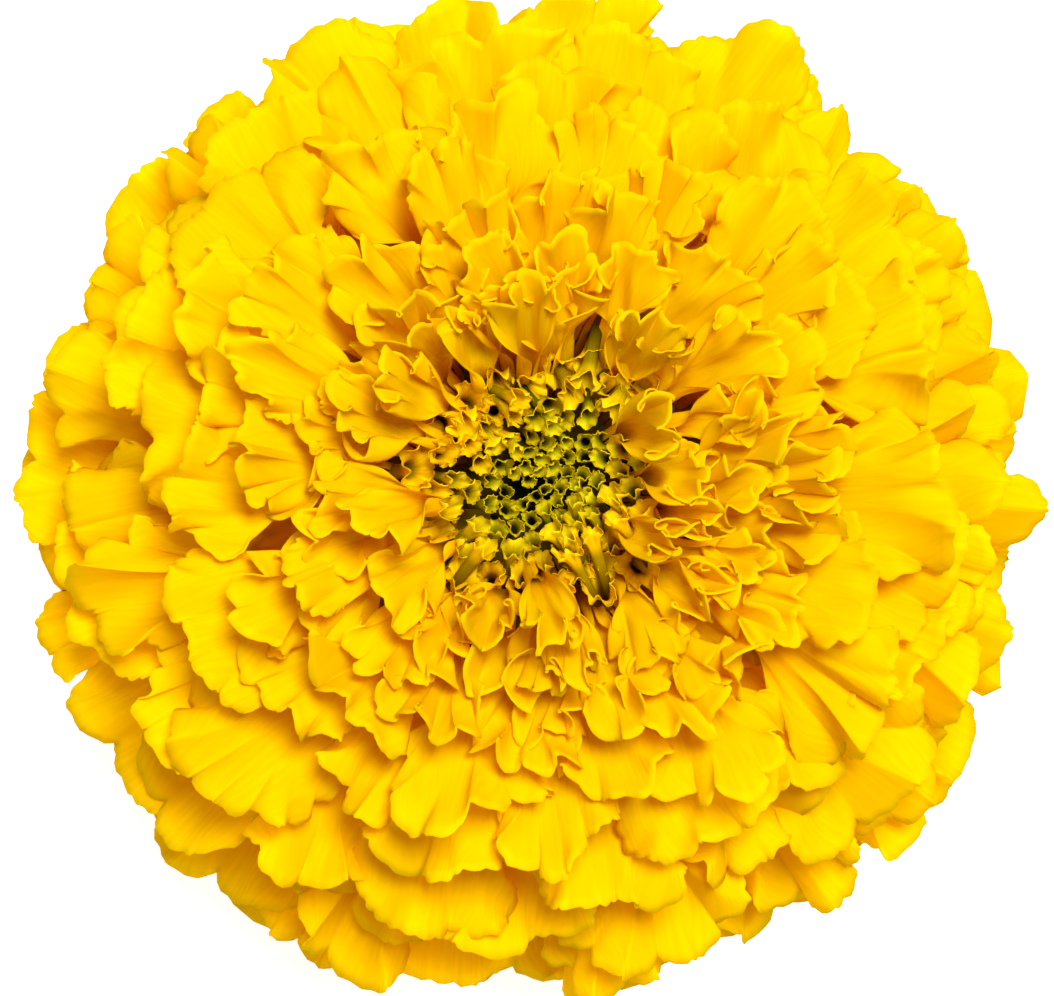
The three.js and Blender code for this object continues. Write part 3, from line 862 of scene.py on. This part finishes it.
def yellow_petal():
    """Golden yellow, fine veins, a throat orange partly from painted shade, painted light near the eye and
    rim.
    """
    tree = Tree("yellow_petal")
    along, own, spot = tree.floret_marks()
    veins = tree.stretched_noise((60, 5, 1))
    patches = tree.stretched_noise((7, 5, 1), 0)
    tone_and_painted_light = tree.math("ADD", along, tree.varied(patches, -0.12, 0.12))
    # painted light: the rays nearest the eye are coloured lighter, against the shade that lies between them
    # there
    tone_and_painted_light = tree.math("ADD", tone_and_painted_light, tree.ranged(spot, 0.12, 0.4, 0.75, 0))
    # deeper orange towards the throat: partly the petal's own colour, partly painted shade in the throats
    colour = tree.ramp(tone_and_painted_light, [
        (0.0, (0.82, 0.35, 0.0)),
        (0.30, (0.98, 0.55, 0.0)),
        (0.62, (1.0, 0.63, 0.0)),
        (1.0, (1.0, 0.685, 0.0)),
    ])
    # painted highlight: a lighter yellow along the margin of each limb
    painted_rim_highlight = tree.ranged(along, 0.93, 1, 0, 0.45)
    colour = tree.blend(painted_rim_highlight, colour, (1.0, 0.77, 0.003, 1))
    tone = tree.math("MULTIPLY", tree.varied(veins, 0.93, 1.02), tree.ranged(own, 0, 1, 0.93, 1.0))
    return tree.tissue(tree.shaded(colour, tone), 0.6, 0.36, veins, 0.00012, (1, 0.7, 0.3, 1))


def eye_petal():
    """Olive green in the middle of the eye, yellow towards the rays, painted shade inside and down the tubes.
    """
    tree = Tree("eye_petal")
    along, own, spot = tree.floret_marks()
    veins = tree.stretched_noise((80, 12, 1))
    # painted shade: each ramp darkens from the lip down into the tube, where the trumpets are shaded inside;
    # its light end is partly the lobes' own colour and partly a painted highlight on the lips
    green = tree.ramp(along, [
        (0.0, (0.05, 0.05, 0.0)),
        (0.6, (0.16, 0.15, 0.001)),
        (0.8, (0.46, 0.41, 0.002)),
        (1.0, (0.86, 0.72, 0.006)),
    ])
    yellow = tree.ramp(along, [
        (0.0, (0.12, 0.07, 0.0)),
        (0.55, (0.42, 0.26, 0.0)),
        (0.8, (1.0, 0.63, 0.001)),
        (1.0, (1.0, 0.70, 0.003)),
    ])
    golden = tree.ramp(along, [
        (0.0, (0.70, 0.33, 0.0)),
        (0.55, (0.95, 0.52, 0.0)),
        (0.8, (1.0, 0.62, 0.0)),
        (1.0, (1.0, 0.67, 0.001)),
    ])
    ripeness = tree.math("ADD", spot, tree.ranged(own, 0, 1, -0.1, 0.1))
    colour = tree.blend(tree.ranged(ripeness, 0.2, 0.5, 0, 1), green, yellow)
    colour = tree.blend(tree.ranged(ripeness, 0.75, 1.2, 0, 1), colour, golden)
    colour = tree.shaded(colour, tree.varied(veins, 0.88, 1.03))
    return tree.tissue(colour, 0.55, 0.2, veins, 0.0001, (1, 0.8, 0.4, 1))


def bundle_tissue():
    """Deep orange tubes, side by side, with painted shade darkening them under the eye to near black."""
    tree = Tree("floret_tubes")
    along, _, _ = tree.floret_marks()
    streaks = tree.stretched_noise((40, 6, 1))
    colour = tree.ramp(streaks, [(0.3, (0.36, 0.12, 0.001)), (0.7, (0.75, 0.33, 0.002))])
    # painted shade: dark under the eye, and near black below its middle, where the gaps hold only shade
    colour = tree.blend(tree.ranged(along, 0.72, 0.8, 0, 1), colour, (0.16, 0.10, 0.002, 1))
    colour = tree.blend(tree.ranged(along, 0.93, 0.97, 0, 1), colour, (0.012, 0.014, 0.001, 1))
    return tree.tissue(colour, 0.7, 0.1, streaks, 0.0002)


def bract_green():
    """Fresh green, paler at the stalk and the teeth, with small dark oil dots."""
    tree = Tree("bract_green")
    along, _, _ = tree.floret_marks()
    streaks = tree.stretched_noise((30, 8, 1))
    colour = tree.ramp(along, [
        (0.0, (0.30, 0.36, 0.10)),
        (0.25, (0.13, 0.24, 0.035)),
        (0.75, (0.10, 0.22, 0.03)),
        (1.0, (0.20, 0.30, 0.05)),
    ])
    colour = tree.shaded(colour, tree.varied(streaks, 0.75, 1.15))
    dots = tree.add("TexVoronoi", Vector=tree.add("TexCoord").outputs["Object"], Scale=900)
    dot = tree.ranged(dots.outputs["Distance"], 0.12, 0.2, 0.75, 0)
    colour = tree.blend(dot, colour, (0.05, 0.10, 0.01, 1))
    return tree.tissue(colour, 0.5, 0.1, streaks, 0.0002)


def dress(piece, material, node):
    piece.data.materials.append(material)
    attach(piece, "root")
    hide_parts(node)


yellow = yellow_petal()
ray_pieces, eye_piece = build_florets()
for piece in ray_pieces:
    dress(piece, yellow, "ray_florets")
dress(build_bundle(), bundle_tissue(), "ray_florets")
dress(eye_piece, eye_petal(), "disc_florets")
dress(build_cup(), bract_green(), "involucre")


# The studio, in metres: a white floor that glows a little, a large soft light and a weaker one
FLOOR_REACH = 3
FLOOR_SHADE = 0.93
FLOOR_GLOW = 0.75
LIT_PLACE = (0, 0, 0.03)
KEY_LIGHT = {"position": (0.16, 0.21, 0.84), "size": 0.36, "power": 10.6}
FILL_LIGHT = {"position": (-0.4, -0.3, 0.7), "size": 0.7, "power": 1.0}
WORLD_STRENGTH = 0.15


def build_floor():
    """A white floor, which glows a little so that it stays white under a soft light."""
    mesh = bpy.data.meshes.new("floor")
    reach = FLOOR_REACH
    corners = [(-reach, -reach, 0), (reach, -reach, 0), (reach, reach, 0), (-reach, reach, 0)]
    mesh.from_pydata(corners, [], [(0, 1, 2, 3)])
    floor = bpy.data.objects.new("floor", mesh)
    bpy.context.collection.objects.link(floor)
    tree = Tree("floor_white")
    white = (FLOOR_SHADE, FLOOR_SHADE, FLOOR_SHADE, 1)
    surface = tree.add("BsdfPrincipled", Base_Color=white, Roughness=0.9)
    surface.inputs["Emission Color"].default_value = (1, 1, 1, 1)
    surface.inputs["Emission Strength"].default_value = FLOOR_GLOW
    tree.add("OutputMaterial", Surface=surface.outputs[0])
    mesh.materials.append(tree.material)
    return floor


build_floor()


def area_light(name, position, size, power):
    """A round soft light that shines on the head."""
    data = bpy.data.lights.new(name, "AREA")
    data.shape = "DISK"
    data.size = size
    data.energy = power
    light = bpy.data.objects.new(name, data)
    light.location = position
    light.rotation_euler = (Vector(LIT_PLACE) - Vector(position)).to_track_quat("-Z", "Y").to_euler()
    bpy.context.collection.objects.link(light)


area_light("key", **KEY_LIGHT)
area_light("fill", **FILL_LIGHT)

world = bpy.data.worlds.new("studio")
bpy.context.scene.world = world
world.use_nodes = True
background = world.node_tree.nodes["Background"]
background.inputs["Color"].default_value = (1, 1, 1, 1)
background.inputs["Strength"].default_value = WORLD_STRENGTH

# The camera, in metres, looks down on the head, a little from the front
CAMERA_ELEVATION = math.radians(86.5)
CAMERA_DISTANCE = 0.26
CAMERA_FOCAL = 100
CAMERA_TARGET = Vector((-0.0001, -0.0005, 0.028))
camera_data = bpy.data.cameras.new("camera")
camera_data.lens = CAMERA_FOCAL
camera_data.sensor_width = 36
camera_data.clip_start = 0.01
camera = bpy.data.objects.new("camera", camera_data)
offset = Vector((0, -math.cos(CAMERA_ELEVATION), math.sin(CAMERA_ELEVATION))) * CAMERA_DISTANCE
camera.location = CAMERA_TARGET + offset
camera.rotation_euler = (-offset).to_track_quat("-Z", "Y").to_euler()
bpy.context.collection.objects.link(camera)
bpy.context.scene.camera = camera
bpy.context.scene.view_settings.view_transform = "Standard"
